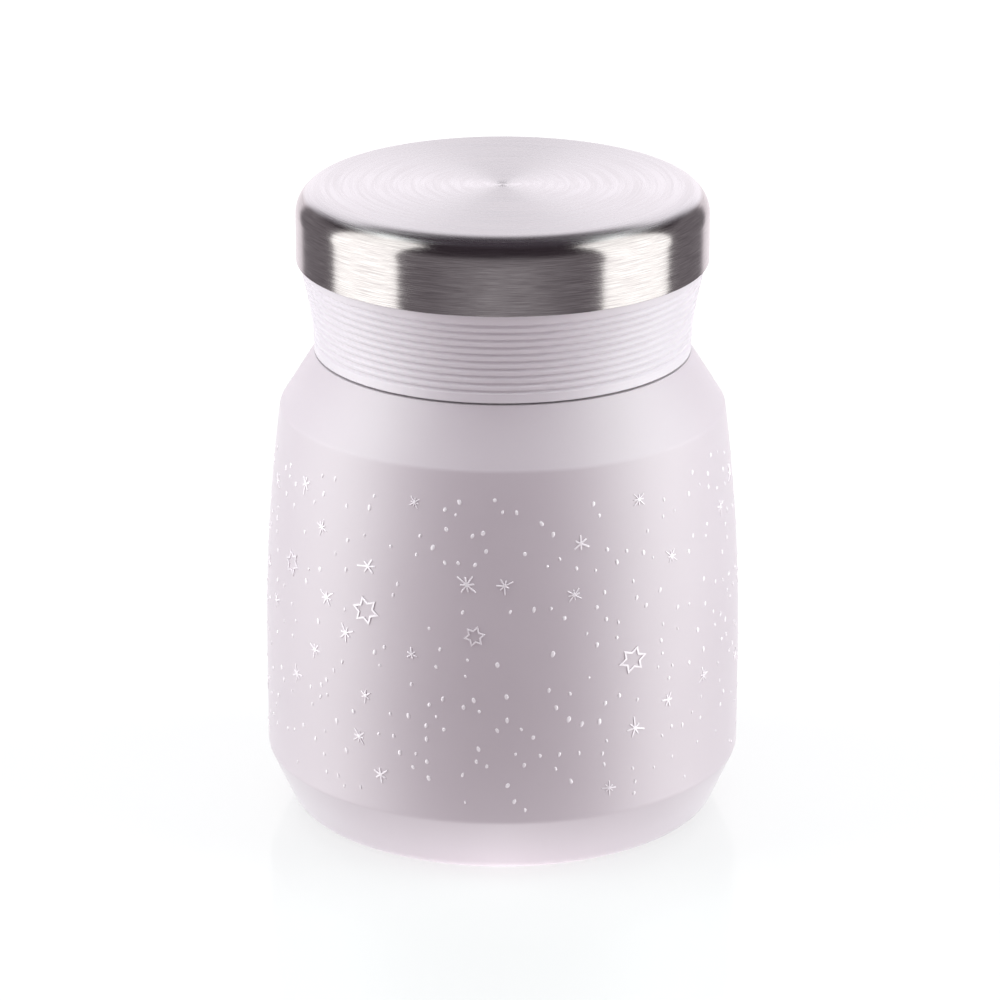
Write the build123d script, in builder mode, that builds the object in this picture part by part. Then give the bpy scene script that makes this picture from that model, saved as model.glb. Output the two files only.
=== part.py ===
"""Vacuum-insulated food jar with a screw lid. Millimetres, +Z up, origin under the centre of the foot."""

import os
from math import atan, cos, sqrt, tan

from build123d import *

# Jar outside. Heights are above the surface that the jar stands on.
bodyRadius = 50.0
sideBow = 405.0  # the side is upright at its foot and bows in slightly towards the shoulder
sideBowHeight = 59.5
shoulderRadius = 46.4
shoulderHeight = 87.8
shoulderFillet = 13.0
lowCornerHeight = 13.2
lowCornerFillet = 10.0
baseCornerRadius = 44.2
baseFillet = 3.5
ledgeHeight = 99.4  # flat ring that the collar stops just above
ledgeRadius = 39.15
neckRadius = 34.9

# Steel walls
shellWall = 0.5
linerWall = 0.4
plateWall = 0.4
coverWall = 0.5
foilWall = 0.15

# Food liner
mouthRadius = 33.0
lipTop = 119.1
lipChamfer = 0.6
lipDepth = 1.1
linerRadius = 43.6
linerFloor = 8.4
linerCorner = 7.0
linerWeldHeight = 22.0
linerShoulderHeight = 83.0
linerNeckHeight = 96.0

# Vacuum space: foil, getter and closing plate
foilGap = 0.05
foilTop = 80.0
getterRadius = 4.0
getterHeight = 1.6
holderWall = 0.3
plateHeight = 3.4
plateRimWidth = 2.2
dimpleRadius = 4.0
dimpleRise = 0.9
pumpHoleRadius = 1.0

# Foot
footProud = 0.6  # the silicone foot stands this far below the steel
footRadius = 32.4
footThick = 1.5
rimInnerRadius = 38.4
recessRadius = 33.2

# Lid outside
lidTop = 134.5
coverRadius = 42.65
coverTopFillet = 5.7
coverEdge = 119.0
collarBottom = 99.85
collarBottomRadius = 39.15
collarBendRadius = 57.0  # the collar is upright at its lower edge and curves out into a straight flare
collarFlareHeight = 105.9  # where the upright and the flare would meet with no curve
collarTop = 121.1

# Grooves round the collar
grooveCount = 10
groovePitch = 1.6
lowestGroove = 102.3
grooveWidth = 0.8
grooveDepth = 0.4

# Lid inside
runGap = 0.1
threadRootRadius = 36.3
skirtRadius = 37.5
skirtBottom = 100.4
deckThick = 1.6
deckTop = collarTop + deckThick
wellRadius = 32.0
wellHollowRadius = 29.6
wellFloor = 1.5
wellBottom = 107.5
wellChamfer = 2.0
carrierWall = 1.4
carrierTop = lidTop - coverWall
carrierChamfer = 5.2
foamGap = 0.3

# Silicone ring
sealTop = collarTop
sealSeatRadius = 31.2  # groove round the well that holds the ring
sealSeatBottom = 113.0
sealRadius = 35.7
sealBandRadius = 32.6
sealGap = 0.2

shellBottom = footProud
coverInner = coverRadius - coverWall
carrierRadius = coverInner - runGap


def flareRadius(height):
    """Outer radius of the collar: an arc that starts upright, then a straight flare up to the cap."""
    flareSlope = (carrierRadius - collarBottomRadius) / (coverEdge - collarFlareHeight)
    halfTurn = atan(flareSlope) / 2
    tangentLength = collarBendRadius * tan(halfTurn)
    arcStart = collarFlareHeight - tangentLength
    arcEnd = collarFlareHeight + tangentLength * cos(2 * halfTurn)
    if height > arcEnd:
        return collarBottomRadius + flareSlope * (height - collarFlareHeight)
    rise = max(0, height - arcStart)
    return collarBottomRadius + collarBendRadius - sqrt(collarBendRadius**2 - rise**2)


def save(piece, name):
    piece.part.label = name
    export_step(piece.part, f"parts/{name}.step")


os.makedirs("parts", exist_ok=True)

# Jar: outer wall, one formed tube from the neck to the lip under the base
with BuildPart() as outerShell:
    with BuildSketch(Plane.XZ):
        with BuildLine():
            FilletPolyline(
                (neckRadius, lipTop - lipDepth),
                (neckRadius, ledgeHeight),
                (ledgeRadius, ledgeHeight),
                (shoulderRadius, shoulderHeight),
                (bodyRadius, sideBowHeight),
                (bodyRadius, lowCornerHeight),
                (baseCornerRadius, shellBottom),
                (rimInnerRadius, shellBottom),
                radius=[0, 0, shoulderFillet, sideBow, lowCornerFillet, baseFillet],
            )
            offset(amount=shellWall, side=Side.RIGHT, kind=Kind.INTERSECTION)
        make_face()
    revolve(axis=Axis.Z)
save(outerShell, "outer_shell")

# Liner: tube with neck and lip; the lip's bead is welded down on the outer wall's neck
with BuildPart() as linerBody:
    with BuildSketch(Plane.XZ):
        with BuildLine():
            Polyline(
                (linerRadius, linerWeldHeight),
                (linerRadius, linerShoulderHeight),
                (mouthRadius, linerNeckHeight),
                (mouthRadius, lipTop - lipChamfer),
            )
            offset(amount=linerWall, side=Side.RIGHT, kind=Kind.INTERSECTION)
        make_face()
        with BuildLine():
            Polyline(
                (mouthRadius, lipTop - lipDepth),
                (mouthRadius, lipTop - lipChamfer),
                (mouthRadius + lipChamfer, lipTop),
                (neckRadius - lipChamfer, lipTop),
                (neckRadius, lipTop - lipChamfer),
                (neckRadius, lipTop - lipDepth),
                close=True,
            )
        make_face()
    revolve(axis=Axis.Z)
save(linerBody, "liner_body")

# Liner: pressed dish, butt-welded to the tube
with BuildPart() as linerBottom:
    with BuildSketch(Plane.XZ):
        with BuildLine():
            Polyline(
                (0, linerFloor),
                (linerRadius - linerCorner, linerFloor),
                (linerRadius, linerFloor + linerCorner),
                (linerRadius, linerWeldHeight),
            )
            offset(amount=linerWall, side=Side.RIGHT, kind=Kind.INTERSECTION)
        make_face()
    revolve(axis=Axis.Z)
save(linerBottom, "liner_bottom")

# Foil round the liner
foilInner = linerRadius + linerWall + foilGap
with BuildPart() as foilWrap:
    with BuildSketch(Plane.XY.offset(linerWeldHeight)):
        Circle(foilInner + foilWall)
        Circle(foilInner, mode=Mode.SUBTRACT)
    extrude(amount=foilTop - linerWeldHeight)
save(foilWrap, "foil_wrap")

# Getter and the pan that holds it under the liner
getterTop = linerFloor - linerWall
with BuildPart() as getterHolder:
    with BuildSketch(Plane.XY.offset(getterTop - getterHeight - holderWall)):
        Circle(getterRadius + holderWall)
    extrude(amount=getterHeight + holderWall)
    with BuildSketch(Plane.XY.offset(getterTop)):
        Circle(getterRadius)
    extrude(amount=-getterHeight, mode=Mode.SUBTRACT)
save(getterHolder, "getter_holder")

with BuildPart() as getter:
    with BuildSketch(Plane.XY.offset(getterTop)):
        Circle(getterRadius)
    extrude(amount=-getterHeight)
save(getter, "getter")

# Plate that closes the vacuum space, with its pump hole in a dimple
plateRim = rimInnerRadius + plateRimWidth
with BuildPart() as vacuumBase:
    with BuildSketch(Plane.XZ):
        with BuildLine():
            Polyline(
                (plateRim, shellBottom + shellWall),
                (rimInnerRadius, shellBottom + shellWall),
                (rimInnerRadius - plateRimWidth, plateHeight),
                (dimpleRadius, plateHeight),
                (dimpleRadius - dimpleRise, plateHeight + dimpleRise),
                (pumpHoleRadius, plateHeight + dimpleRise),
            )
            offset(amount=plateWall, side=Side.RIGHT, kind=Kind.INTERSECTION)
        make_face()
    revolve(axis=Axis.Z)
save(vacuumBase, "vacuum_base")

# Sealing glass in the dimple
with BuildPart() as sealBead:
    with BuildSketch(Plane.XZ):
        with BuildLine():
            Polyline(
                (0, plateHeight),
                (dimpleRadius, plateHeight),
                (dimpleRadius - dimpleRise, plateHeight + dimpleRise),
                (0, plateHeight + dimpleRise),
                close=True,
            )
        make_face()
    revolve(axis=Axis.Z)
save(sealBead, "seal_bead")

# Pressed disc under the base, with a recess for the foot
recessHeight = footThick
with BuildPart() as baseCover:
    with BuildSketch(Plane.XZ):
        with BuildLine():
            Polyline(
                (rimInnerRadius, shellBottom),
                (recessRadius, shellBottom),
                (recessRadius, recessHeight),
                (0, recessHeight),
            )
            offset(amount=plateWall, side=Side.RIGHT, kind=Kind.INTERSECTION)
        make_face()
    revolve(axis=Axis.Z)
save(baseCover, "base_cover")

with BuildPart() as basePad:
    with BuildSketch(Plane.XY):
        Circle(footRadius)
    extrude(amount=footThick)
save(basePad, "base_pad")

# Lid: threaded skirt, deck and the well that plugs the mouth, in one moulding
with BuildPart() as lidCore:
    with BuildSketch(Plane.XZ):
        with BuildLine():
            Polyline(
                (0, wellBottom),
                (wellRadius - wellChamfer, wellBottom),
                (wellRadius, wellBottom + wellChamfer),
                (wellRadius, sealSeatBottom),
                (sealSeatRadius, sealSeatBottom),
                (sealSeatRadius, collarTop),
                (threadRootRadius, collarTop),
                (threadRootRadius, skirtBottom),
                (skirtRadius, skirtBottom),
                (skirtRadius, collarTop),
                (carrierRadius, collarTop),
                (carrierRadius, deckTop),
                (wellHollowRadius, deckTop),
                (wellHollowRadius, wellBottom + wellFloor),
                (0, wellBottom + wellFloor),
                close=True,
            )
        make_face()
    revolve(axis=Axis.Z)
save(lidCore, "lid_core")

# Lid: coloured collar, flared up to the cap, with a V groove at each height
grooveHeights = [lowestGroove + groovePitch * index for index in range(grooveCount)]
collarOutline = [(collarBottomRadius, collarBottom)]
for height in grooveHeights:
    lower, upper = height - grooveWidth / 2, height + grooveWidth / 2
    collarOutline += [
        (flareRadius(lower), lower),
        (flareRadius(height) - grooveDepth, height),
        (flareRadius(upper), upper),
    ]
collarOutline += [
    (carrierRadius, coverEdge),
    (carrierRadius, collarTop),
    (skirtRadius + runGap, collarTop),
    (skirtRadius + runGap, collarBottom),
]
with BuildPart() as lidCollar:
    with BuildSketch(Plane.XZ):
        with BuildLine():
            Polyline(*collarOutline, close=True)
        make_face()
    revolve(axis=Axis.Z)
save(lidCollar, "lid_collar")

# Lid: moulded cup that carries the steel cap
with BuildPart() as coverCarrier:
    with BuildSketch(Plane.XZ):
        with BuildLine():
            Polyline(
                (carrierRadius, deckTop),
                (carrierRadius, carrierTop - carrierChamfer),
                (carrierRadius - carrierChamfer, carrierTop),
                (0, carrierTop),
            )
            offset(amount=carrierWall, side=Side.LEFT, kind=Kind.INTERSECTION)
        make_face()
    revolve(axis=Axis.Z)
save(coverCarrier, "cover_carrier")

# Lid: foam puck in the well and under the carrier
foamTop = carrierTop - carrierWall - foamGap
foamRadius = carrierRadius - carrierWall - foamGap
with BuildPart() as lidInsulation:
    with BuildSketch(Plane.XZ):
        with BuildLine():
            Polyline(
                (0, wellBottom + wellFloor),
                (wellHollowRadius - foamGap, wellBottom + wellFloor),
                (wellHollowRadius - foamGap, deckTop),
                (foamRadius, deckTop),
                (foamRadius, foamTop - carrierChamfer),
                (foamRadius - carrierChamfer, foamTop),
                (0, foamTop),
                close=True,
            )
        make_face()
    revolve(axis=Axis.Z)
save(lidInsulation, "lid_insulation")

# Lid: drawn steel cap
with BuildPart() as lidCover:
    with BuildSketch(Plane.XZ):
        with BuildLine():
            FilletPolyline(
                (coverRadius, coverEdge),
                (coverRadius, lidTop),
                (0, lidTop),
                radius=coverTopFillet,
            )
            offset(amount=coverWall, side=Side.LEFT, kind=Kind.INTERSECTION)
        make_face()
    revolve(axis=Axis.Z)
save(lidCover, "lid_cover")

# Silicone ring: a band that grips the well and a flange that lies on the lip
with BuildPart() as lidSeal:
    with BuildSketch(Plane.XZ):
        with BuildLine():
            Polyline(
                (sealSeatRadius + runGap, sealSeatBottom + runGap),
                (sealBandRadius, sealSeatBottom + runGap),
                (sealBandRadius, lipTop + sealGap),
                (sealRadius, lipTop + sealGap),
                (sealRadius, sealTop - runGap),
                (sealSeatRadius + runGap, sealTop - runGap),
                close=True,
            )
        make_face()
    revolve(axis=Axis.Z)
save(lidSeal, "lid_seal")
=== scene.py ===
import random
from math import atan2, ceil, cos, hypot, pi, radians, sin, sqrt, tan

import bpy
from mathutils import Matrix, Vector


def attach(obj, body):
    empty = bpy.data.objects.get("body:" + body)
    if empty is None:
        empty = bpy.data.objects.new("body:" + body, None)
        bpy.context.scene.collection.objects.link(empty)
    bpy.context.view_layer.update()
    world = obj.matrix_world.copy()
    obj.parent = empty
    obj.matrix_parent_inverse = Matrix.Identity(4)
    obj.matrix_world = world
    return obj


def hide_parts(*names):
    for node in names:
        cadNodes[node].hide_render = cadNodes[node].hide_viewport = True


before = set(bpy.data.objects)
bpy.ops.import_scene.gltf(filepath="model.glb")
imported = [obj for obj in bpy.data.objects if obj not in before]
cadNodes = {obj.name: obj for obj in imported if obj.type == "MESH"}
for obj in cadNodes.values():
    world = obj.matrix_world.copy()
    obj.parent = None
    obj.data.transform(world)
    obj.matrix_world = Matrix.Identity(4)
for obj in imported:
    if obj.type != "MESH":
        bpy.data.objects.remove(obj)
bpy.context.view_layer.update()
mm = 0.001  # the jar and the camera are written in millimetres, the studio in metres
print("frame loaded with", len(cadNodes), "nodes")


# camera
camera = {"lens": 175.3, "sensor": 36.0, "pitch": 19.3, "distance": 1022.9, "aimHeight": 65.73, "aside": -0.55}


def placeCamera():
    pitch = radians(camera["pitch"])
    back, up = camera["distance"] * cos(pitch), camera["distance"] * sin(pitch)
    spot = Vector((camera["aside"], -back, camera["aimHeight"] + up))
    bpy.ops.object.camera_add(location=spot * mm, rotation=(pi / 2 - pitch, 0, 0))
    eye = bpy.context.object
    eye.name = "jarCamera"
    eye.data.lens = camera["lens"]
    eye.data.sensor_width = camera["sensor"]
    bpy.context.scene.camera = eye


placeCamera()
print("camera placed")


# pieces turned on the jar's axis
turning = {
    "steps": 240, "arcStep": 7.0, "arcLength": 4.0, "arcLeast": 3, "weld": 0.0005,
    "smoothAngle": 38.0, "edgeAngle": 60.0, "edgeSegments": 2,
}


def startPiece(name, x, z):
    # one vertex at the first point of the outline
    bpy.ops.object.select_all(action="DESELECT")
    bpy.ops.mesh.primitive_plane_add(size=mm, location=(x * mm, 0, z * mm))
    piece = bpy.context.object
    piece.name = piece.data.name = name
    bpy.ops.object.transform_apply(location=True, rotation=True, scale=True)
    bpy.ops.object.mode_set(mode="EDIT")
    bpy.ops.mesh.merge(type="CENTER")
    return piece


def drawTo(here, there):
    step = (there - here) * mm
    if step.length > turning["weld"] * mm:
        bpy.ops.mesh.extrude_region_move(TRANSFORM_OT_translate={"value": (step.x, 0, step.y)})
    return there


def drawOutline(points):
    # points are (radius from the axis, height) or (radius, height, rounding)
    here = Vector(points[0][:2])
    for index in range(1, len(points)):
        corner = Vector(points[index][:2])
        rounding = points[index][2] if len(points[index]) > 2 else 0
        if not rounding:
            here = drawTo(here, corner)
            continue
        back = (Vector(points[index - 1][:2]) - corner).normalized()
        ahead = (Vector(points[index + 1][:2]) - corner).normalized()
        turn = pi - back.angle(ahead)
        here = drawTo(here, corner + back * rounding * tan(turn / 2))
        middle = corner + (back + ahead).normalized() * rounding / cos(turn / 2)
        leftTurn = back.y * ahead.x - back.x * ahead.y > 0
        byAngle, byLength = turn / radians(turning["arcStep"]), rounding * turn / turning["arcLength"]
        steps = max(turning["arcLeast"], ceil(byAngle), ceil(byLength))
        bpy.ops.mesh.spin(
            steps=steps, angle=turn, center=(middle.x * mm, 0, middle.y * mm), axis=(0, 1 if leftTurn else -1, 0)
        )
        here = corner + ahead * rounding * tan(turn / 2)


def weld():
    bpy.ops.mesh.select_all(action="SELECT")
    bpy.ops.mesh.remove_doubles(threshold=turning["weld"] * mm)


def useModifier(piece, kind, **settings):
    modifier = piece.modifiers.new(kind.title(), kind)
    for key, value in settings.items():
        setattr(modifier, key, value)
    bpy.ops.object.modifier_apply(modifier=modifier.name)


def roundEdges(piece, width, angle):
    useModifier(
        piece, "BEVEL", width=width * mm, segments=turning["edgeSegments"],
        limit_method="ANGLE", angle_limit=radians(angle),
    )


def smooth():
    bpy.ops.object.shade_smooth_by_angle(angle=radians(turning["smoothAngle"]))


def joinPieces(pieces):
    bpy.ops.object.select_all(action="DESELECT")
    for piece in pieces:
        piece.select_set(True)
    bpy.context.view_layer.objects.active = pieces[0]
    bpy.ops.object.join()
    return bpy.context.object


def turnPiece(name, points, wall=0, edge=0):
    # a closed outline makes a solid; an open one gets a wall behind it and a small edge rounding
    piece = startPiece(name, *points[0][:2])
    drawOutline(points)
    weld()
    bpy.ops.mesh.spin(steps=turning["steps"], angle=2 * pi, center=(0, 0, 0), axis=(0, 0, 1))
    weld()
    bpy.ops.mesh.normals_make_consistent(inside=False)
    bpy.ops.object.mode_set(mode="OBJECT")
    if wall:
        useModifier(piece, "SOLIDIFY", thickness=wall * mm, offset=-1, use_even_offset=True)
    if edge:
        roundEdges(piece, edge, turning["edgeAngle"])
    smooth()
    useModifier(piece, "WEIGHTED_NORMAL", keep_sharp=True)
    return piece


def settle(piece, body, slot, material, *nodes):
    piece.data.materials.clear()
    piece.data.materials.append(material)
    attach(piece, body)
    if nodes:
        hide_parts(*nodes)


# finishes
def newFinish(name, **sockets):
    finish = bpy.data.materials.new(name)
    finish.use_nodes = True
    shader = finish.node_tree.nodes["Principled BSDF"]
    for socket, value in sockets.items():
        shader.inputs[socket].default_value = value
    return finish, shader


def addNode(finish, kind, inputs=None, **settings):
    node = finish.node_tree.nodes.new("ShaderNode" + kind)
    for key, value in settings.items():
        setattr(node, key, value)  # a Mix node's kind of data comes before its inputs
    for socket, value in (inputs or {}).items():
        if isinstance(value, bpy.types.NodeSocket):
            finish.node_tree.links.new(value, node.inputs[socket])
        else:
            node.inputs[socket].default_value = value
    return node


def feed(finish, shader, socket, output):
    finish.node_tree.links.new(output, shader.inputs[socket])


def place(finish):
    # the shaded point's place in the object, in metres
    return addNode(finish, "TexCoord").outputs["Object"]


def grain(finish, where, size):
    # soft noise whose features are about this many millimetres across
    return addNode(finish, "TexNoise", {"Vector": where, "Scale": 1 / (size * mm)}).outputs["Fac"]


def cells(finish, where, size, **settings):
    return addNode(finish, "TexVoronoi", {"Vector": where, "Scale": 1 / (size * mm)}, **settings).outputs["Distance"]


def between(finish, amount, low, high, lowAt=0.3, highAt=0.7):
    # noise seldom leaves 0.3 to 0.7, so that is what is spread over the range unless a call says otherwise
    return addNode(
        finish, "MapRange", {"Value": amount, "From Min": lowAt, "From Max": highAt, "To Min": low, "To Max": high}
    ).outputs["Result"]


def blendColours(finish, amount, first, second):
    # each colour is three numbers, or what another node gives
    inputs = {0: amount}
    for socket, colour in ((6, first), (7, second)):
        inputs[socket] = colour if isinstance(colour, bpy.types.NodeSocket) else (*colour, 1)
    return addNode(finish, "Mix", inputs, data_type="RGBA").outputs[2]


def raised(finish, height, strength, distance):
    return addNode(
        finish, "Bump", {"Height": height, "Strength": strength, "Distance": distance * mm}
    ).outputs["Normal"]


def mixed(finish, amount, first, second):
    return addNode(finish, "Mix", {0: amount, 2: first, 3: second}).outputs[0]


def calculate(finish, operation, first, second=None):
    inputs = {0: first}
    if second is not None:
        inputs[1] = second
    return addNode(finish, "Math", inputs, operation=operation).outputs["Value"]


brushing = {"nearAxis": 0.1, "detail": 3.0, "roughness": 0.6, "acrossTurn": 0.25, "relief": 0.02}


def turnedPlace(finish):
    # the object's place as distance from the axis, the direction from the axis, and height
    spot = addNode(finish, "SeparateXYZ", {"Vector": place(finish)})
    x, y, z = (spot.outputs[axis] for axis in "XYZ")
    squares = calculate(finish, "ADD", calculate(finish, "MULTIPLY", x, x), calculate(finish, "MULTIPLY", y, y))
    reach = calculate(finish, "SQRT", squares)
    reachSafe = calculate(finish, "MAXIMUM", reach, brushing["nearAxis"] * mm)
    return reach, calculate(finish, "DIVIDE", x, reachSafe), calculate(finish, "DIVIDE", y, reachSafe), z


def turnedStreaks(finish, where, around, across):
    # noise drawn out round the axis: streaks per radian, and the width of a streak in millimetres
    reach, x, y, z = where
    vector = addNode(finish, "CombineXYZ", {
        "X": calculate(finish, "MULTIPLY", x, around),
        "Y": calculate(finish, "MULTIPLY", y, around),
        "Z": calculate(finish, "MULTIPLY", calculate(finish, "SUBTRACT", reach, z), 1 / (across * mm)),
    }).outputs["Vector"]
    noise = {"Vector": vector, "Scale": 1.0, "Detail": brushing["detail"], "Roughness": brushing["roughness"]}
    return addNode(finish, "TexNoise", noise).outputs["Fac"]


def newSteel(name, anisotropy):
    # metal whose highlights are drawn out across brushing that runs round the axis
    sockets = {"Metallic": 1.0, "Anisotropic": anisotropy, "Anisotropic Rotation": brushing["acrossTurn"]}
    finish, shader = newFinish(name, **sockets)
    feed(finish, shader, "Tangent", addNode(finish, "Tangent", direction_type="RADIAL", axis="Z").outputs["Tangent"])
    return finish, shader


def turnedSteel(name, dark, light, roughness, around, across, anisotropy, spread=0.06, depth=0.08):
    finish, shader = newSteel(name, anisotropy)
    streaks = turnedStreaks(finish, turnedPlace(finish), around, across)
    feed(finish, shader, "Base Color", blendColours(finish, between(finish, streaks, 0, 1), dark, light))
    feed(finish, shader, "Roughness", between(finish, streaks, roughness - spread, roughness + spread))
    feed(finish, shader, "Normal", raised(finish, streaks, depth, brushing["relief"]))
    return finish


capLook = {
    "topDark": (0.635, 0.64, 0.655), "topLight": (0.732, 0.742, 0.76), "topSpan": (0.35, 0.65),
    "topAround": 1.4, "topAcross": 0.9, "topRoughness": 0.27, "topDepth": 0.004,
    # the side's colours are painted shade on the same steel, darker than the top's, and their light end is partly
    # painted glints
    "sideDark": (0.32, 0.295, 0.302), "sideLight": (0.51, 0.486, 0.488), "sideSpan": (0.36, 0.64),
    "sideAround": 7.0, "sideAcross": 0.11, "sideRoughness": 0.2, "sideDepth": 0.1,
    "anisotropy": 0.8, "spread": 0.04, "topEdge": 40.6, "sideStart": 41.2,
}


def capSteelFinish():
    # long spun streaks on the flat top, shorter and deeper scratches round the side; the side's steel colour is
    # painted shade, darker than the top's to hold down the soft boxes' reflections, and its light streaks are partly
    # painted glints
    s = capLook
    finish, shader = newSteel("capSteel", s["anisotropy"])
    where = turnedPlace(finish)
    onSide = between(finish, where[0], 0, 1, s["topEdge"] * mm, s["sideStart"] * mm)
    streaks = turnedStreaks(finish, where, s["topAround"], s["topAcross"])
    scratchesAndGlints = turnedStreaks(finish, where, s["sideAround"], s["sideAcross"])
    marks = mixed(finish, onSide, streaks, scratchesAndGlints)
    topColour = blendColours(finish, between(finish, marks, 0, 1, *s["topSpan"]), s["topDark"], s["topLight"])
    shadedSideColour = blendColours(finish, between(finish, marks, 0, 1, *s["sideSpan"]), s["sideDark"], s["sideLight"])
    feed(finish, shader, "Base Color", blendColours(finish, onSide, topColour, shadedSideColour))
    roughness = mixed(finish, onSide, s["topRoughness"], s["sideRoughness"])
    uneven = between(finish, marks, -s["spread"], s["spread"])
    feed(finish, shader, "Roughness", calculate(finish, "ADD", roughness, uneven))
    depth = mixed(finish, onSide, s["topDepth"], s["sideDepth"])
    feed(finish, shader, "Normal", raised(finish, marks, depth, brushing["relief"]))
    return finish


def mottledFinish(name, pale, deep, roughness, grainSize, depth, mottle=24, spread=0.03, relief=0.02, **sockets):
    # two close colours in wide soft patches, and a fine grain in gloss and relief
    finish, shader = newFinish(name, **sockets)
    where = place(finish)
    patches = between(finish, grain(finish, where, mottle), 0, 1)
    feed(finish, shader, "Base Color", blendColours(finish, patches, pale, deep))
    fine = grain(finish, where, grainSize)
    feed(finish, shader, "Roughness", between(finish, fine, roughness - spread, roughness + spread))
    feed(finish, shader, "Normal", raised(finish, fine, depth, relief))
    return finish


cellSpan = (0, 0.8)  # from the middle of a cell to its rim


def cellFinish(name, size, middle, rim, roughness, strength, relief, **sockets):
    # small cells whose middles and rims differ in colour, gloss and height
    finish, shader = newFinish(name, **sockets)
    where = place(finish)
    apart = cells(finish, where, size)
    feed(finish, shader, "Base Color", blendColours(finish, between(finish, apart, 0, 1, *cellSpan), middle, rim))
    feed(finish, shader, "Roughness", between(finish, apart, *roughness, *cellSpan))
    feed(finish, shader, "Normal", raised(finish, apart, strength, relief))
    return finish


foilLook = {
    "crease": 5, "creaseSpan": (0, 0.2), "dark": (0.6, 0.6, 0.62), "light": (0.78, 0.78, 0.8),
    "smudge": 6, "roughness": (0.14, 0.3), "strength": 0.5, "relief": 0.3,
}


def foilFinish():
    s = foilLook
    finish, shader = newFinish("crinkledFoil", Metallic=1.0)
    where = place(finish)
    creases = cells(finish, where, s["crease"], feature="DISTANCE_TO_EDGE")
    facets = between(finish, creases, 0, 1, *s["creaseSpan"])
    feed(finish, shader, "Base Color", blendColours(finish, facets, s["dark"], s["light"]))
    feed(finish, shader, "Roughness", between(finish, grain(finish, where, s["smudge"]), *s["roughness"]))
    feed(finish, shader, "Normal", raised(finish, creases, s["strength"], s["relief"]))
    return finish


glassLook = {
    "flow": 1.5, "dark": (0.03, 0.035, 0.04), "light": (0.07, 0.08, 0.09), "roughness": (0.05, 0.15),
    "strength": 0.2, "relief": 0.05,
}


def glassFinish():
    s = glassLook
    finish, shader = newFinish("sealingGlass", **{"Transmission Weight": 0.6, "IOR": 1.52})
    flow = grain(finish, place(finish), s["flow"])
    feed(finish, shader, "Base Color", blendColours(finish, between(finish, flow, 0, 1), s["dark"], s["light"]))
    feed(finish, shader, "Roughness", between(finish, flow, *s["roughness"]))
    feed(finish, shader, "Normal", raised(finish, flow, s["strength"], s["relief"]))
    return finish


satinCoat = mottledFinish(
    "satinCoat", (0.455, 0.37, 0.426), (0.44, 0.355, 0.411), roughness=0.56, grainSize=0.3, depth=0.03,
    **{"Specular IOR Level": 1.0, "IOR": 1.85, "Sheen Weight": 0.5},
)
raisedEnamel = mottledFinish(
    "raisedEnamel", (0.82, 0.74, 0.795), (0.78, 0.7, 0.755), roughness=0.18, grainSize=0.4, depth=0.05,
    **{"Specular IOR Level": 1.0},
)
collarPlastic = mottledFinish(
    "collarPlastic", (0.6, 0.527, 0.584), (0.58, 0.507, 0.564), roughness=0.52, grainSize=0.35, depth=0.2,
    **{"Specular IOR Level": 1.0, "IOR": 1.6, "Sheen Weight": 0.35},
)
corePlastic = mottledFinish(
    "corePlastic", (0.64, 0.585, 0.625), (0.61, 0.555, 0.595), roughness=0.42, grainSize=0.4, depth=0.16
)
foodSilicone = mottledFinish(
    "foodSilicone", (0.78, 0.76, 0.79), (0.7, 0.68, 0.71), roughness=0.48, grainSize=0.3, depth=0.15,
    mottle=9, spread=0.06, **{"Subsurface Weight": 0.25, "Subsurface Scale": 2 * mm},
)
capSteel = capSteelFinish()
neckSteel = turnedSteel(
    "neckSteel", (0.55, 0.54, 0.54), (0.68, 0.67, 0.67), roughness=0.24, around=6.0, across=0.2, anisotropy=0.6
)
linerSteel = turnedSteel(
    "linerSteel", (0.52, 0.51, 0.51), (0.64, 0.63, 0.63), roughness=0.32, around=3.0, across=0.3, anisotropy=0.6
)
plateSteel = turnedSteel(
    "plateSteel", (0.45, 0.44, 0.44), (0.55, 0.54, 0.54), roughness=0.36, around=4.0, across=0.3, anisotropy=0.5
)
whiteFoam = cellFinish(
    "whiteFoam", 1.2, (0.84, 0.84, 0.81), (0.68, 0.68, 0.64), roughness=(0.75, 0.95), strength=0.6, relief=0.15,
    **{"Sheen Weight": 0.15},
)
sinteredPill = cellFinish(
    "sinteredPill", 0.25, (0.04, 0.04, 0.045), (0.09, 0.09, 0.1), roughness=(0.6, 0.85), strength=0.5, relief=0.05,
    Metallic=0.8,
)
crinkledFoil = foilFinish()
sealingGlass = glassFinish()
print("finishes mixed")


# jar: painted wall, with the shoulder, the bowed side and the turned-in base
wallShape = {
    "neckRadius": 34.9, "ledgeRadius": 39.15, "ledgeHeight": 99.4, "ledgeEdge": 0.15,
    "shoulderRadius": 46.4, "shoulderHeight": 87.8, "shoulderRound": 2.0,
    "sideRadius": 49.85, "bowHeight": 59.5, "bow": 405.0,
    "lowHeight": 13.2, "lowRound": 2.5, "baseRadius": 44.2, "baseHeight": 0.6, "baseRound": 3.5,
    "rimRadius": 38.4, "wall": 0.5, "edge": 0.1,
}


def makePaintedWall():
    s = wallShape
    wall = turnPiece("paintedWall", [
        (s["neckRadius"], s["ledgeHeight"]),
        (s["ledgeRadius"], s["ledgeHeight"], s["ledgeEdge"]),
        (s["shoulderRadius"], s["shoulderHeight"], s["shoulderRound"]),
        (s["sideRadius"], s["bowHeight"], s["bow"]),
        (s["sideRadius"], s["lowHeight"], s["lowRound"]),
        (s["baseRadius"], s["baseHeight"], s["baseRound"]),
        (s["rimRadius"], s["baseHeight"]),
    ], wall=s["wall"], edge=s["edge"])
    settle(wall, "jar", "powder_coat", satinCoat, "outer_shell")


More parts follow.
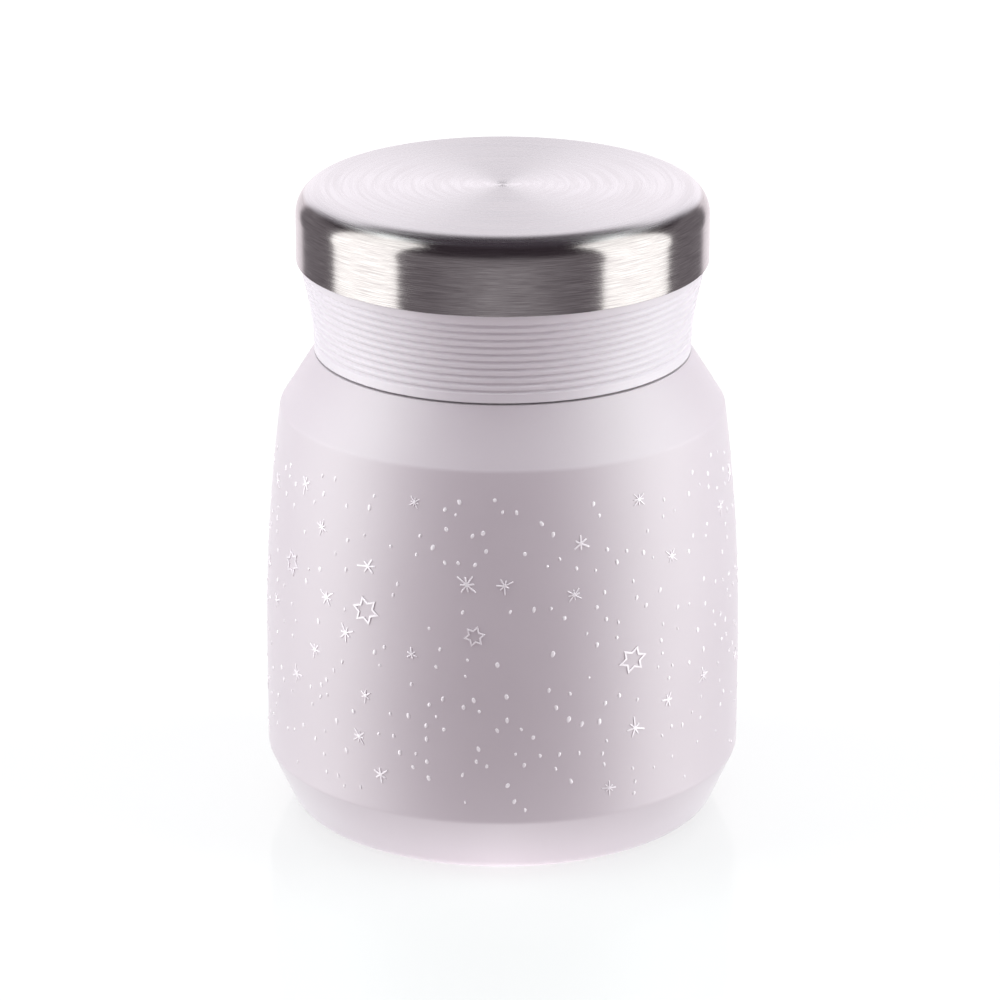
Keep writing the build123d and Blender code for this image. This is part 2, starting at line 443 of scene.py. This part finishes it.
def wallRadius(height):
    # radius of the painted side, which bows in above the point where it stops being upright
    s = wallShape
    lean = hypot(s["sideRadius"] - s["shoulderRadius"], s["shoulderHeight"] - s["bowHeight"])
    slope = (s["sideRadius"] - s["shoulderRadius"]) / lean
    halfTurnReach = s["bow"] * slope / (1 + sqrt(1 - slope * slope))
    rise = max(0, height - (s["bowHeight"] - halfTurnReach))
    return s["sideRadius"] - s["bow"] + sqrt(s["bow"] ** 2 - rise ** 2)


makePaintedWall()
print("painted wall turned")


# jar: raised sprinkle of dots, bursts and outlined stars on the side
sprinkle = {
    "low": 15.5, "high": 83.5, "proud": 0.15, "sunk": 0.06, "uneven": 0.16, "seed": 41, "tries": 60000,
    "dots": 560, "dotWidth": 0.76, "dotLength": 1.14, "dotRoot": 0.02, "dotSegments": 10, "dotRings": 8,
    "dotGap": 2.3, "dotLean": 0.5, "dotSizes": (0.7, 1.15),
    "bursts": 60, "burstHub": 0.38, "burstArms": (8, 6, 7), "burstArm": 1.6, "shortArm": 1.05,
    "armUneven": 0.15, "armSteps": (0.6, 0.4), "armTaper": 0.85, "endUpright": 0.5, "endOutwards": 0.9,
    "burstRound": 0.08, "burstAngle": 50, "burstGap": 6.5, "burstSizes": (0.75, 1.15),
    "stars": 7, "starPoints": 6, "starRadius": 3.1, "starWaist": 0.58, "starCuts": 2, "starLine": 0.38,
    "starGap": 24.0, "starMargin": 2, "starSizes": (0.85, 1.05),
}


def makeDot():
    # the upper half of a flattened ball
    s = sprinkle
    bpy.ops.object.select_all(action="DESELECT")
    bpy.ops.mesh.primitive_uv_sphere_add(segments=s["dotSegments"], ring_count=s["dotRings"], radius=1)
    dot = bpy.context.object
    dot.scale = (s["dotWidth"] / 2 * mm, s["dotLength"] / 2 * mm, s["proud"] * mm)
    bpy.ops.object.transform_apply(location=True, rotation=True, scale=True)
    bpy.ops.object.mode_set(mode="EDIT")
    bpy.ops.mesh.select_all(action="SELECT")
    bpy.ops.mesh.bisect(
        plane_co=(0, 0, -s["dotRoot"] * mm), plane_no=(0, 0, 1), threshold=turning["weld"] * mm,
        clear_inner=True, use_fill=True,
    )
    bpy.ops.object.mode_set(mode="OBJECT")
    return dot


def selectFaces(piece, wanted):
    # face mode first, so that only these faces and not their neighbours are taken
    bpy.ops.object.mode_set(mode="EDIT")
    bpy.ops.mesh.select_mode(type="FACE")
    bpy.ops.mesh.select_all(action="DESELECT")
    bpy.ops.object.mode_set(mode="OBJECT")
    for face in piece.data.polygons:
        face.select = wanted(face)
    bpy.ops.object.mode_set(mode="EDIT")


def endsArm(face, arm, arms):
    # an upright face that looks away from the middle, in this arm's share of the circle
    upright = abs(face.normal.z) < sprinkle["endUpright"]
    outwards = face.normal.dot(face.center.normalized()) > sprinkle["endOutwards"]
    share = (atan2(face.center.y, face.center.x) - pi / 2) * arms / (2 * pi)
    return upright and outwards and round(share - 0.5) % arms == arm


def makeBurst(arms):
    # a low boss with uneven arms drawn out of its sides, longer and shorter by turns
    s = sprinkle
    bpy.ops.object.select_all(action="DESELECT")
    bpy.ops.mesh.primitive_cylinder_add(vertices=arms, radius=s["burstHub"] * mm, depth=2 * s["proud"] * mm)
    burst = bpy.context.object
    for arm in range(arms):
        length = s["shortArm"] if arm % 2 else s["burstArm"]
        reach = length * random.uniform(1 - s["armUneven"], 1 + s["armUneven"])
        for share in s["armSteps"]:
            selectFaces(burst, lambda face: endsArm(face, arm, arms))
            bpy.ops.mesh.extrude_faces_move(
                MESH_OT_extrude_faces_indiv={}, TRANSFORM_OT_shrink_fatten={"value": reach * share * mm}
            )
            bpy.ops.transform.resize(value=(1, 1, s["armTaper"]))
            bpy.ops.object.mode_set(mode="OBJECT")
    bpy.ops.object.mode_set(mode="EDIT")
    bpy.ops.mesh.select_mode(type="VERT")
    bpy.ops.object.mode_set(mode="OBJECT")
    roundEdges(burst, s["burstRound"], s["burstAngle"])
    return burst


def makeStar():
    # a ring of points, every other one drawn in, thickened to a line and raised
    s = sprinkle
    bpy.ops.object.select_all(action="DESELECT")
    bpy.ops.mesh.primitive_circle_add(vertices=2 * s["starPoints"], radius=s["starRadius"] * mm, fill_type="NGON")
    star = bpy.context.object
    bpy.ops.object.mode_set(mode="EDIT")
    bpy.ops.mesh.select_all(action="DESELECT")
    bpy.ops.object.mode_set(mode="OBJECT")
    for vertex in star.data.vertices:
        vertex.select = vertex.index % 2 == 1
    bpy.ops.object.mode_set(mode="EDIT")
    bpy.ops.transform.resize(value=(s["starWaist"], s["starWaist"], 1))
    bpy.ops.mesh.select_all(action="SELECT")
    bpy.ops.mesh.subdivide(number_cuts=s["starCuts"])
    bpy.ops.mesh.select_mode(type="FACE")
    bpy.ops.mesh.select_all(action="SELECT")
    bpy.ops.mesh.inset(thickness=s["starLine"] * mm, use_even_offset=True)
    bpy.ops.mesh.delete(type="FACE")
    bpy.ops.mesh.select_mode(type="VERT")
    bpy.ops.object.mode_set(mode="OBJECT")
    useModifier(star, "SOLIDIFY", thickness=2 * s["proud"] * mm, offset=0)
    return star


def wrapOnWall(pattern, turn, height, spin, size):
    # a copy of uneven width, bent round the wall at this place and a little sunk into it
    s = sprinkle
    copy = pattern.copy()
    copy.data = pattern.data.copy()
    bpy.context.collection.objects.link(copy)
    wide, tall = (size * random.uniform(1 - s["uneven"], 1 + s["uneven"]) for axis in "xy")
    for vertex in copy.data.vertices:
        x, y, proud = vertex.co.x * wide / mm, vertex.co.y * tall / mm, vertex.co.z / mm
        up = x * sin(spin) + y * cos(spin)
        reach = wallRadius(height + up)
        angle = turn + (x * cos(spin) - y * sin(spin)) / reach
        reach += min(proud, s["proud"]) if proud > 0 else -s["sunk"]
        vertex.co = Vector((reach * cos(angle), reach * sin(angle), height + up)) * mm
    return copy


def scatter(count, gap, taken):
    # places on the unrolled wall, each clear of those already taken
    s = sprinkle
    reach = wallRadius((s["low"] + s["high"]) / 2)
    girth = 2 * pi * reach
    places = []
    tries = 0
    while len(places) < count and tries < s["tries"]:
        tries += 1
        along, height = random.uniform(0, girth), random.uniform(s["low"] + gap / 4, s["high"] - gap / 4)
        clear = True
        for otherAlong, otherHeight, otherGap in taken:
            apart = abs(along - otherAlong)
            apart = min(apart, girth - apart)
            if hypot(apart, height - otherHeight) < (gap + otherGap) / 2:
                clear = False
                break
        if clear:
            places.append((along / reach, height))
            taken.append((along, height, gap))
    return places


def joinCopies(name, copies, patterns):
    joined = joinPieces(copies)
    joined.name = joined.data.name = name
    for pattern in patterns:
        bpy.data.objects.remove(pattern)
    bpy.ops.object.mode_set(mode="EDIT")
    bpy.ops.mesh.select_all(action="SELECT")
    bpy.ops.mesh.normals_make_consistent(inside=False)
    bpy.ops.object.mode_set(mode="OBJECT")
    smooth()
    settle(joined, "jar", "powder_coat", raisedEnamel)


def makeSprinkle():
    # stars first, wide apart; bursts and dots then come closer to them than another star may
    s = sprinkle
    random.seed(s["seed"])
    starWidth = 2 * s["starRadius"] + s["starMargin"]
    taken = []
    starPlaces = scatter(s["stars"], s["starGap"], taken)
    taken = [(along, height, starWidth) for along, height, gap in taken]
    burstPlaces = scatter(s["bursts"], s["burstGap"], taken)
    dotPlaces = scatter(s["dots"], s["dotGap"], taken)
    for name, patterns, places, lean, sizes in (
        ("sprinkleStars", [makeStar()], starPlaces, pi, s["starSizes"]),
        ("sprinkleBursts", [makeBurst(arms) for arms in s["burstArms"]], burstPlaces, pi, s["burstSizes"]),
        ("sprinkleDots", [makeDot()], dotPlaces, s["dotLean"], s["dotSizes"]),
    ):
        copies = []
        for index, (turn, height) in enumerate(places):
            pattern = patterns[index % len(patterns)]
            copies.append(wrapOnWall(pattern, turn, height, random.uniform(-lean, lean), random.uniform(*sizes)))
        joinCopies(name, copies, patterns)
        print(name, len(copies))


makeSprinkle()


# threads of the neck and the lid
threadShape = {
    "lead": 8.0, "turns": 1.3, "starts": 2, "steps": 90, "low": 103.2, "width": 1.7, "crest": 0.7, "sunk": 0.15,
    "tail": 0.12,
}


def makeThread(name, rootRadius, depth, low):
    # a low ridge drawn round in a helix, sinking into the wall at both ends; depth below zero points inwards
    t = threadShape
    footRadius = rootRadius - (t["sunk"] if depth > 0 else -t["sunk"])
    side = (t["width"] - t["crest"]) / 2
    section = (
        (footRadius, low),
        (rootRadius + depth, low + side),
        (rootRadius + depth, low + side + t["crest"]),
        (footRadius, low + t["width"]),
    )
    ridges = []
    for start in range(t["starts"]):
        ridge = startPiece(name, *section[0])
        here = Vector(section[0])
        for there in (*section[1:], section[0]):
            here = drawTo(here, Vector(there))
        weld()
        bpy.ops.object.mode_set(mode="OBJECT")
        useModifier(
            ridge, "SCREW", angle=2 * pi * t["turns"], screw_offset=t["lead"] * t["turns"] * mm,
            steps=t["steps"], render_steps=t["steps"],
        )
        for vertex in ridge.data.vertices:
            along = vertex.index // len(section) / t["steps"]
            share = min(1, min(along, 1 - along) / t["tail"])
            reach = hypot(vertex.co.x, vertex.co.y) / mm
            newReach = footRadius + (reach - footRadius) * sin(share * pi / 2)
            vertex.co.x *= newReach / reach
            vertex.co.y *= newReach / reach
        ridge.rotation_euler.z = 2 * pi * start / t["starts"]
        bpy.ops.object.transform_apply(location=True, rotation=True, scale=True)
        bpy.ops.object.mode_set(mode="EDIT")
        weld()
        bpy.ops.mesh.fill_holes(sides=len(section))
        bpy.ops.mesh.normals_make_consistent(inside=True)  # the flat tails make Blender take out for in
        bpy.ops.object.mode_set(mode="OBJECT")
        ridges.append(ridge)
    thread = joinPieces(ridges)
    smooth()
    return thread


# jar: steel neck
neckShape = {"radius": 34.9, "top": 118.0, "foot": 99.3, "wall": 0.5, "thread": 0.9}


def makeNeck():
    s = neckShape
    neck = turnPiece("steelNeck", [(s["radius"], s["foot"]), (s["radius"], s["top"])], wall=s["wall"])
    settle(neck, "jar", "liner_steel", neckSteel)
    ridge = makeThread("neckThread", s["radius"], s["thread"], threadShape["low"])
    settle(ridge, "jar", "liner_steel", neckSteel)


makeNeck()
print("neck and its thread made")


# jar: steel liner with its lip, and the pressed dish
linerShape = {
    "mouth": 33.0, "lipTop": 119.1, "lipDepth": 1.1, "lipRound": 0.6, "neckHeight": 96.0, "neckRound": 4.0,
    "radius": 43.6, "shoulderHeight": 83.0, "shoulderRound": 5.0, "weldHeight": 22.0, "wall": 0.4,
    "floor": 8.4, "corner": 7.0, "cornerRound": 11.5,
}


def makeLiner():
    s = linerShape
    lip, wall = s["lipTop"] - s["lipDepth"], s["wall"]
    liner = turnPiece("linerTube", [
        (s["radius"], s["weldHeight"]),
        (s["radius"], s["shoulderHeight"], s["shoulderRound"]),
        (s["mouth"], s["neckHeight"], s["neckRound"]),
        (s["mouth"], s["lipTop"], s["lipRound"]),
        (wallShape["neckRadius"], s["lipTop"], s["lipRound"]),
        (wallShape["neckRadius"], lip),
        (s["mouth"] + wall, lip),
        (s["mouth"] + wall, s["neckHeight"] + wall / 2, s["neckRound"] - wall),
        (s["radius"] + wall, s["shoulderHeight"] + wall / 2, s["shoulderRound"] + wall),
        (s["radius"] + wall, s["weldHeight"]),
        (s["radius"], s["weldHeight"]),
    ])
    settle(liner, "jar", "liner_steel", linerSteel, "liner_body")
    dish = turnPiece("linerDish", [
        (0, s["floor"]),
        (s["radius"] / 2, s["floor"]),
        (s["radius"] - s["corner"], s["floor"], s["cornerRound"]),
        (s["radius"], s["floor"] + s["corner"], s["cornerRound"]),
        (s["radius"], s["weldHeight"]),
    ], wall=-wall)
    settle(dish, "jar", "liner_steel", linerSteel, "liner_bottom")


makeLiner()
print("liner turned")


# jar: base disc and silicone foot
baseShape = {
    "rim": 38.4, "bottom": 0.6, "recess": 33.2, "recessHeight": 1.5, "round": 0.4, "wall": 0.4,
    "foot": 32.4, "footEdge": 0.5,
}


def makeBase():
    s = baseShape
    disc = turnPiece("baseDisc", [
        (s["rim"], s["bottom"]),
        (s["recess"], s["bottom"], s["round"]),
        (s["recess"], s["recessHeight"], s["round"]),
        (s["recess"] / 2, s["recessHeight"]),
        (0, s["recessHeight"]),
    ], wall=s["wall"])
    settle(disc, "jar", "plate_steel", plateSteel, "base_cover")
    foot = turnPiece("siliconeFoot", [
        (0, 0),
        (s["foot"] / 2, 0),
        (s["foot"], 0, s["footEdge"]),
        (s["foot"], s["recessHeight"]),
        (0, s["recessHeight"]),
    ])
    settle(foot, "jar", "silicone", foodSilicone, "base_pad")


makeBase()
print("base disc and foot turned")


# lid: steel cap
capShape = {
    "radius": 42.65, "edge": 119.0, "top": 134.5, "round": 5.7, "wall": 0.5, "edgeRound": 0.12,
    "rings": (0.8, 0.6, 0.4, 0.2, 0.08), "markRadius": 1.7, "nubRadius": 0.5, "markDepth": 0.18,
}


def makeCap():
    # the flat top is cut into rings, so that its faces stay short, down to a small turned mark at the centre
    s = capShape
    cap = turnPiece("steelCap", [
        (s["radius"], s["edge"]),
        (s["radius"], s["top"], s["round"]),
        *[(s["radius"] * share, s["top"]) for share in s["rings"]],
        (s["markRadius"], s["top"]),
        ((s["markRadius"] + s["nubRadius"]) / 2, s["top"] - s["markDepth"]),
        (s["nubRadius"], s["top"]),
        (0, s["top"]),
    ], wall=s["wall"], edge=s["edgeRound"])
    settle(cap, "lid", "cap_steel", capSteel, "lid_cover")


makeCap()
print("steel cap turned")


# lid: grooved collar, upright at its foot and flared out to the cap
collarShape = {
    "bottom": 99.85, "bottomRadius": 39.15, "bend": 57.0, "flareHeight": 105.9, "flareRadius": 42.05,
    "capEdge": 119.0, "top": 121.1, "inner": 37.6, "edge": 0.2,
    "grooves": 10, "pitch": 1.6, "lowest": 102.3, "grooveWidth": 1.0, "grooveDepth": 0.62,
    "grooveLip": 0.22, "grooveRound": 0.16,
}


def flareRadius(height):
    # radius of the collar's outside, upright below and sloping above, with the bend between them
    s = collarShape
    slope = (s["flareRadius"] - s["bottomRadius"]) / (s["capEdge"] - s["flareHeight"])
    turn = hypot(1, slope)
    reach = s["bend"] * slope / (1 + turn)
    arcStart, arcEnd = s["flareHeight"] - reach, s["flareHeight"] + reach / turn
    if height > arcEnd:
        return s["bottomRadius"] + slope * (height - s["flareHeight"])
    rise = max(0, height - arcStart)
    return s["bottomRadius"] + s["bend"] - sqrt(s["bend"] ** 2 - rise ** 2)


def makeCollar():
    s = collarShape
    outline = [(s["inner"], s["bottom"]), (s["bottomRadius"], s["bottom"], s["edge"])]
    for groove in range(s["grooves"]):
        middle = s["lowest"] + groove * s["pitch"]
        low, high = middle - s["grooveWidth"] / 2, middle + s["grooveWidth"] / 2
        outline += [
            (flareRadius(low), low, s["grooveLip"]),
            (flareRadius(middle) - s["grooveDepth"], middle, s["grooveRound"]),
            (flareRadius(high), high, s["grooveLip"]),
        ]
    outline += [
        (s["flareRadius"], s["capEdge"]),
        (s["flareRadius"], s["top"]),
        (s["inner"], s["top"]),
        (s["inner"], s["bottom"]),
    ]
    settle(turnPiece("groovedCollar", outline), "lid", "collar_plastic", collarPlastic, "lid_collar")


makeCollar()
print("collar turned with", collarShape["grooves"], "grooves")


# lid: threaded core
coreShape = {
    "bottom": 107.5, "well": 32.0, "wellRound": 2.6, "seatBottom": 113.0, "seatEdge": 0.25, "seat": 31.2,
    "deck": 121.1, "deckTop": 122.7, "deckRound": 0.4, "threadRoot": 36.3, "skirt": 37.5, "skirtBottom": 100.4,
    "skirtEdge": 0.4, "rim": 42.05, "hollow": 29.6, "floorTop": 109.0, "thread": 0.95, "threadLow": 105.2,
}


def makeCore():
    s = coreShape
    core = turnPiece("lidCore", [
        (0, s["bottom"]),
        (s["well"] / 2, s["bottom"]),
        (s["well"], s["bottom"], s["wellRound"]),
        (s["well"], s["seatBottom"], s["seatEdge"]),
        (s["seat"], s["seatBottom"]),
        (s["seat"], s["deck"]),
        (s["threadRoot"], s["deck"], s["deckRound"]),
        (s["threadRoot"], s["skirtBottom"], s["skirtEdge"]),
        (s["skirt"], s["skirtBottom"], s["skirtEdge"]),
        (s["skirt"], s["deck"]),
        (s["rim"], s["deck"]),
        (s["rim"], s["deckTop"]),
        (s["hollow"], s["deckTop"]),
        (s["hollow"], s["floorTop"]),
        (0, s["floorTop"]),
    ])
    settle(core, "lid", "core_plastic", corePlastic, "lid_core")
    ridge = makeThread("lidThread", s["threadRoot"], -s["thread"], s["threadLow"])
    settle(ridge, "lid", "core_plastic", corePlastic)


makeCore()
print("lid core and its thread made")


# silicone ring between the lid and the lip
ringShape = {
    "inner": 31.3, "seam": 114.1, "bottom": 113.1, "band": 32.6, "flange": 119.3, "radius": 35.7, "top": 121.0,
    "round": 0.35,
}


def makeSealRing():
    # the outline starts at a seam up the inner side, so that every corner can be rounded
    s = ringShape
    ring = turnPiece("sealRing", [
        (s["inner"], s["seam"]),
        (s["inner"], s["bottom"], s["round"]),
        (s["band"], s["bottom"], s["round"]),
        (s["band"], s["flange"], s["round"]),
        (s["radius"], s["flange"], s["round"]),
        (s["radius"], s["top"], s["round"]),
        (s["inner"], s["top"], s["round"]),
        (s["inner"], s["seam"]),
    ])
    settle(ring, "seal_ring", "silicone", foodSilicone, "lid_seal")


makeSealRing()
print("seal ring turned")


# CAD nodes: the seven inside the walls are shown as they are, the others stand behind a piece of the scene
nodeFinishes = {
    "foil_wrap": crinkledFoil, "getter_holder": plateSteel, "getter": sinteredPill, "vacuum_base": plateSteel,
    "seal_bead": sealingGlass, "cover_carrier": corePlastic, "lid_insulation": whiteFoam,
    "outer_shell": satinCoat, "liner_body": linerSteel, "liner_bottom": linerSteel, "base_cover": plateSteel,
    "base_pad": foodSilicone, "lid_seal": foodSilicone, "lid_core": corePlastic, "lid_collar": collarPlastic,
    "lid_cover": capSteel,
}
for name, finish in nodeFinishes.items():
    cadNodes[name].data.materials.clear()
    cadNodes[name].data.materials.append(finish)
print("CAD nodes finished")


# studio: a small glowing table, a white sweep behind, two tall soft boxes with a fill each, a lamp overhead
# and a weak one in front
studio = {
    "floorSize": 8.0, "floorWhite": 1.15, "floorWhiteShare": 0.6, "nearFloor": 0.16, "farFloor": 0.42,
    "sheet": (0.45, 0.45, 0.46), "sheetRoughness": 0.08, "sheetIor": 1.8,
    "footRadius": 0.0325, "tableRadius": 0.05, "tableEnd": 0.07,
    "tableMiddle": 1.5, "tableSides": 0.45, "stripWidth": 0.04,
    "dimHigh": (0.06, 0.046, 0.057), "dimLow": (0.275, 0.25, 0.268), "dimSpan": (0.37, 0.47),
    "sweep": (1.22, 1.135, 1.185), "sweepAcross": (0.47, 0.56), "sweepUp": (0.65, 0.77),
    "boxDistance": 0.8, "leftAngle": -81.8, "rightAngle": 79.0,
    "boxSize": (0.68, 1.85), "boxMiddle": 0.42, "boxRadiance": 2.2, "boxColour": (0.98, 1, 0.955),
    "fillSize": (0.68, 1.3), "fillRadiance": 3.2, "fillColour": (0.83, 1, 0.965), "fillTurn": 98 / 90,
    "topPlace": (0, 0, 1), "topSize": (0.8, 0.8), "topRadiance": 3.6, "topColour": (0.9, 1, 0.98),
    "frontPlace": (0, -0.92, 1), "frontSize": (1, 1), "frontRadiance": 0.35, "frontColour": (1, 0.97, 0.99),
}
glows = (
    {"towards": (0, -1, 0), "edge": 0.75, "middle": 1, "strength": 0.1},
    {"towards": (0, -0.6, -0.8), "edge": 0.84, "middle": 0.96, "strength": 0.9},
)


def makeFloor():
    # the camera sees a white floor from above and none from below; light and reflections meet only the small
    # table under the jar, which glows most along the middle and is open under the foot
    s = studio
    bpy.ops.mesh.primitive_plane_add(size=s["floorSize"])
    floor = bpy.context.object
    floor.name = floor.data.name = "studioFloor"
    finish, shader = newFinish("studioFloor", **{
        "Base Color": (*s["sheet"], 1), "Roughness": s["sheetRoughness"], "Specular IOR Level": 1.0,
        "IOR": s["sheetIor"], "Emission Color": (1, 1, 1, 1),
    })
    seen = addNode(finish, "LightPath").outputs["Is Camera Ray"]
    unseen = calculate(finish, "SUBTRACT", 1, seen)
    away = addNode(finish, "VectorMath", {0: place(finish)}, operation="LENGTH").outputs["Value"]
    across = addNode(finish, "SeparateXYZ", {0: place(finish)}).outputs["X"]
    across = calculate(finish, "ABSOLUTE", across)

    strip = between(finish, across, s["tableMiddle"], s["tableSides"], 0, s["stripWidth"])
    feed(finish, shader, "Emission Strength", calculate(finish, "MULTIPLY", unseen, strip))
    glow = addNode(finish, "Emission", {"Color": (1, 1, 1, 1), "Strength": s["floorWhite"]}).outputs[0]
    share = between(finish, away, s["floorWhiteShare"], 1, s["nearFloor"], s["farFloor"])
    share = calculate(finish, "MULTIPLY", share, seen)
    white = addNode(finish, "MixShader", {0: share, 1: shader.outputs[0], 2: glow}).outputs[0]

    offTable = between(finish, away, 0, 1, s["tableRadius"], s["tableEnd"])
    underFoot = calculate(finish, "LESS_THAN", away, s["footRadius"])
    openToLight = calculate(finish, "MULTIPLY", calculate(finish, "MAXIMUM", offTable, underFoot), unseen)
    fromBelow = calculate(finish, "MULTIPLY", addNode(finish, "NewGeometry").outputs["Backfacing"], seen)
    openFloor = calculate(finish, "MAXIMUM", openToLight, fromBelow)
    empty = addNode(finish, "BsdfTransparent").outputs[0]
    surface = addNode(finish, "MixShader", {0: openFloor, 1: white, 2: empty}).outputs[0]
    feed(finish, finish.node_tree.nodes["Material Output"], "Surface", surface)
    floor.data.materials.append(finish)


def makeWorld():
    # dim all round and dark overhead, with weak glows in front and below and a white sweep low behind the jar;
    # the camera sees plain white
    s = studio
    world = bpy.data.worlds.new("studioWorld")
    world.use_nodes = True
    bpy.context.scene.world = world
    around = addNode(world, "TexCoord").outputs["Generated"]
    direction = addNode(world, "SeparateXYZ", {"Vector": around})
    x, y, z = (direction.outputs[axis] for axis in "XYZ")
    colour = blendColours(world, between(world, z, 0, 1, *s["dimSpan"]), s["dimLow"], s["dimHigh"])
    for glow in glows:
        near = addNode(world, "VectorMath", {0: around, 1: glow["towards"]}, operation="DOT_PRODUCT").outputs["Value"]
        light = between(world, near, 0, glow["strength"], glow["edge"], glow["middle"])
        light = addNode(world, "CombineColor", {0: light, 1: light, 2: light}).outputs[0]
        colour = addNode(world, "Mix", {0: 1.0, 6: colour, 7: light}, data_type="RGBA", blend_type="ADD").outputs[2]
    across = between(world, calculate(world, "ABSOLUTE", x), 1, 0, *s["sweepAcross"])
    behind = calculate(world, "MULTIPLY", across, calculate(world, "GREATER_THAN", y, 0))
    low = between(world, z, 1, 0, *s["sweepUp"])
    colour = blendColours(world, calculate(world, "MULTIPLY", behind, low), colour, s["sweep"])
    colour = blendColours(world, addNode(world, "LightPath").outputs["Is Camera Ray"], colour, (1, 1, 1))
    feed(world, world.node_tree.nodes["Background"], "Color", colour)


def addLamp(name, spot, facing, size, radiance, colour, mirrored=False):
    # a soft box, whose back looks along facing; a lamp that isn't mirrored lights the steel but doesn't show in it
    width, height = size
    bpy.ops.object.light_add(type="AREA", location=spot)
    lamp = bpy.context.object
    lamp.name = name
    lamp.data.shape = "RECTANGLE"
    lamp.data.size, lamp.data.size_y = width, height
    lamp.data.energy = radiance * pi * width * height
    lamp.data.color = colour
    lamp.rotation_euler = Vector(facing).to_track_quat("Z", "Y").to_euler()
    lamp.visible_camera = False
    lamp.visible_glossy = mirrored


def addSideLamp(name, angle, middle, size, radiance, colour, mirrored=False):
    # an upright lamp at this many degrees round from the front
    turn = radians(angle)
    outwards = Vector((sin(turn), -cos(turn), 0))
    spot = outwards * studio["boxDistance"] + Vector((0, 0, middle))
    addLamp(name, spot, outwards, size, radiance, colour, mirrored)


def makeStudio():
    # each fill stands a little further round than its box, on the floor
    s = studio
    makeFloor()
    makeWorld()
    for name, angle in (("leftBox", s["leftAngle"]), ("rightBox", s["rightAngle"])):
        addSideLamp(name, angle, s["boxMiddle"], s["boxSize"], s["boxRadiance"], s["boxColour"], mirrored=True)
        fillAngle, fillMiddle = angle * s["fillTurn"], s["fillSize"][1] / 2
        addSideLamp(name + "Fill", fillAngle, fillMiddle, s["fillSize"], s["fillRadiance"], s["fillColour"])
    top, front = s["topPlace"], s["frontPlace"]
    addLamp("topLamp", top, top, s["topSize"], s["topRadiance"], s["topColour"])
    addLamp("frontFill", front, front, s["frontSize"], s["frontRadiance"], s["frontColour"])


makeStudio()
bpy.context.scene.view_settings.view_transform = "Standard"
print("studio lit")
